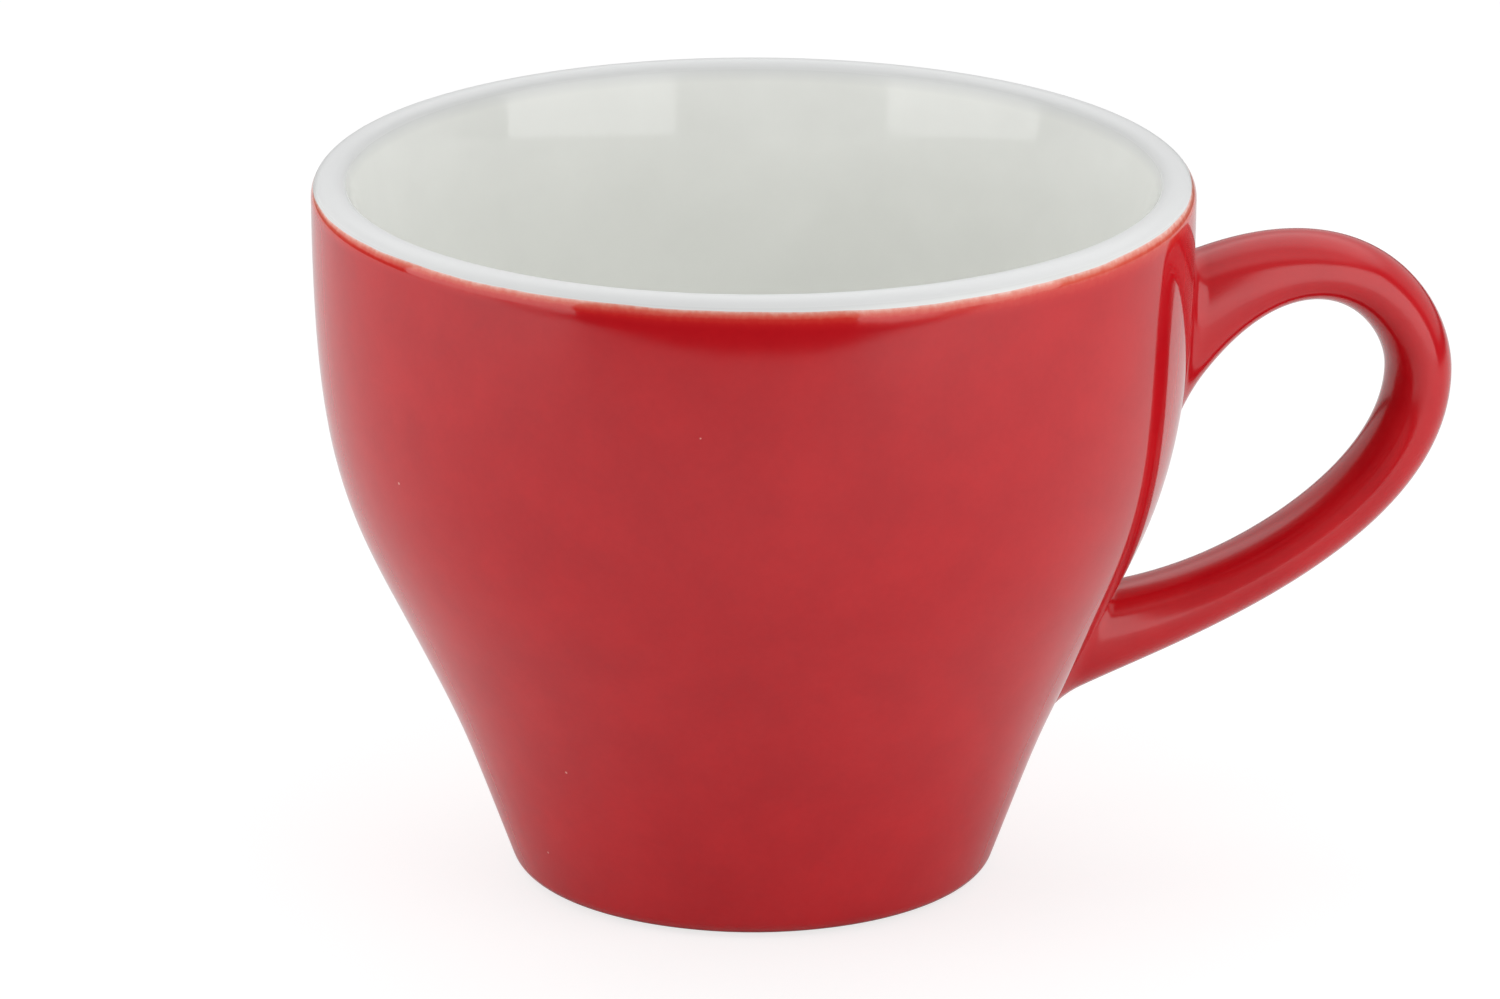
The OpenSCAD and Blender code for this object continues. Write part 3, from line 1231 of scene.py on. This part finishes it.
@dataclass(frozen=True)
class Studio:
    """The round white table, the dim room round it and the soft lamps.

    Lengths in metres, angles in degrees. The walls' levels run from the front
    of the room to its back, by how far a direction points to the back.
    """

    front_level: float = 0.32
    side_level: float = 0.12
    back_level: float = 0.66
    front_y: float = -0.45
    side_y: float = 0.0
    back_y: float = 0.3
    ceiling_level: float = 0.84
    ceiling_lean: float = 16.0
    ceiling_edge: float = 52.0
    ceiling_full: float = 38.0
    floor_size: float = 3.0
    floor_drop: float = 0.00005
    table_y: float = 0.121
    table_r: float = 0.366
    table_edge: float = 0.003
    table_white: float = 0.78
    # Painted shade: colour of the floor beyond the table's edge, standing for the unlit room.
    unlit_room_painted_shade: float = 0.04
    seen_share: float = 0.75
    seen_white: float = 1.2
    lamps: tuple[SoftBox, ...] = (
        SoftBox("right_soft_box", (0.238, -0.157, 0.1515), (0.06, 0.0845, 0.1515), 0.31, 0.297, 1.9),
        SoftBox("left_soft_box", (-0.292, -0.086, 0.1515), (-0.074, 0.12, 0.1515), 0.314, 0.297, 1.75),
    )

    def build(self) -> None:
        """Set the view, the world, the floor and the lamps."""
        bpy.context.scene.view_settings.view_transform = "Standard"
        self.world()
        self.floor()
        for lamp in self.lamps:
            lamp.build()

    def world(self) -> None:
        """Make the room: white for the camera and through clear things, plain light for the rest."""
        world = bpy.data.worlds.new("studio")
        bpy.context.scene.world = world
        world.use_nodes = True
        tree = world.node_tree
        tree.nodes.clear()
        path = add_node(tree, "ShaderNodeLightPath")
        toward = add_node(tree, "ShaderNodeTexCoord").outputs["Generated"]
        walls = (
            (self.front_y, self.front_level),
            (self.side_y, self.side_level),
            (self.back_y, self.back_level),
        )
        edge, full = (math.cos(math.radians(a)) for a in (self.ceiling_edge, self.ceiling_full))
        ceiling = ((edge, 0.0), (full, self.ceiling_level))
        back, up = Vector((0, 1, 0)), Vector((0, *lean_dir(self.ceiling_lean)))
        parts = []
        for axis, levels in ((back, walls), (up, ceiling)):
            facing = {"operation": "DOT_PRODUCT", 1: tuple(VIEW_TURN @ axis)}
            reach = add_node(tree, "ShaderNodeVectorMath", facing, {0: toward})
            span = {"From Min": -1.0, "From Max": 1.0}
            along = add_node(tree, "ShaderNodeMapRange", span, {"Value": reach.outputs["Value"]})
            line = ramp(tree, along.outputs["Result"], [((y + 1) / 2, level) for y, level in levels])
            line.color_ramp.interpolation = "EASE"
            parts.append(line.outputs["Color"])
        shade = add_node(tree, "ShaderNodeVectorMath", {"operation": "ADD"}, dict(enumerate(parts)))
        plain = add_node(tree, "ShaderNodeBackground", {"Strength": 1.0}, {"Color": shade.outputs["Vector"]})
        white = add_node(tree, "ShaderNodeBackground", {"Color": WHITE, "Strength": 1.0})
        clear = add_node(
            tree,
            "ShaderNodeMath",
            {"operation": "MAXIMUM"},
            {0: path.outputs["Is Camera Ray"], 1: path.outputs["Is Transmission Ray"]},
        )
        shaders = {0: clear.outputs[0], 1: plain.outputs[0], 2: white.outputs[0]}
        both = add_node(tree, "ShaderNodeMixShader", links=shaders)
        add_node(tree, "ShaderNodeOutputWorld", links={"Surface": both.outputs[0]})

    def floor(self) -> None:
        """Add the floor: a round matt white table; beyond its edge the floor is painted nearly black, painted
        shade that stands for the unlit room.

        For the camera it is pure white but for the cup's shadow. It lies a hair
        below the foot ring, so that the two never share a plane.
        """
        deselect_all()
        bpy.ops.mesh.primitive_plane_add(size=2 * self.floor_size, location=(0, 0, -self.floor_drop))
        floor = name_piece("floor")
        material, tree = new_material("white_board_and_painted_dark_room")
        place = add_node(tree, "ShaderNodeTexCoord").outputs["Object"]
        centre = tuple(VIEW_TURN @ Vector((0, self.table_y, 0)))
        away = add_node(tree, "ShaderNodeVectorMath", {"operation": "DISTANCE", 1: centre}, {0: place})
        # Painted shade: past the table's edge the floor turns nearly black, standing for the unlit room round
        # the table.
        edge = [(self.table_r, self.table_white), (self.table_r + self.table_edge, self.unlit_room_painted_shade)]
        ring = ramp(tree, away.outputs["Value"], edge)
        matt = add_node(tree, "ShaderNodeBsdfDiffuse", links={"Color": ring.outputs["Color"]})
        level = self.seen_white
        bright = add_node(tree, "ShaderNodeBsdfDiffuse", {"Color": (level, level, level, 1.0)})
        white = add_node(tree, "ShaderNodeEmission", {"Color": WHITE, "Strength": 1.0})
        mixed = {1: bright.outputs[0], 2: white.outputs[0]}
        seen = add_node(tree, "ShaderNodeMixShader", {0: self.seen_share}, mixed)
        path = add_node(tree, "ShaderNodeLightPath")
        shaders = {0: path.outputs["Is Camera Ray"], 1: matt.outputs[0], 2: seen.outputs[0]}
        both = add_node(tree, "ShaderNodeMixShader", links=shaders)
        add_node(tree, "ShaderNodeOutputMaterial", links={"Surface": both.outputs[0]})
        floor.data.materials.append(material)


def dress_clay() -> None:
    """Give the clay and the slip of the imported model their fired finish."""
    clay = FiredClay().build()
    # Slip is the same clay sieved and thinned with water, which leaves it finer and a little darker.
    slip = FiredClay(name="fired_slip", low="#D2C6B2", high="#E6DCCB", grit_mm=0.25).build()
    for node in ("cup_body", "handle", "upper_slip_joint", "lower_slip_joint"):
        material = slip if "slip" in node else clay
        for item in bpy.data.objects:
            if item.type == "MESH" and item.name == node:
                item.data.materials.clear()
                item.data.materials.append(material)
                log.info("%s: %s", node, material.name)


def main() -> None:
    """Build the cup and its studio."""
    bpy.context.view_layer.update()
    Camera().build()
    red, white = RedGlaze().build(), WhiteGlaze().build()
    wall = CupWall()
    wall.build(red, white)
    # The handle's coat is brushed over by hand, which leaves its gloss softer than the sprayed wall's.
    brushed = RedGlaze(name="red_gloss_glaze_of_the_handle", roughness=0.17).build()
    LoopHandle(wall).build(brushed)
    dress_clay()
    Studio().build()


if __name__ == "__main__":
    main()
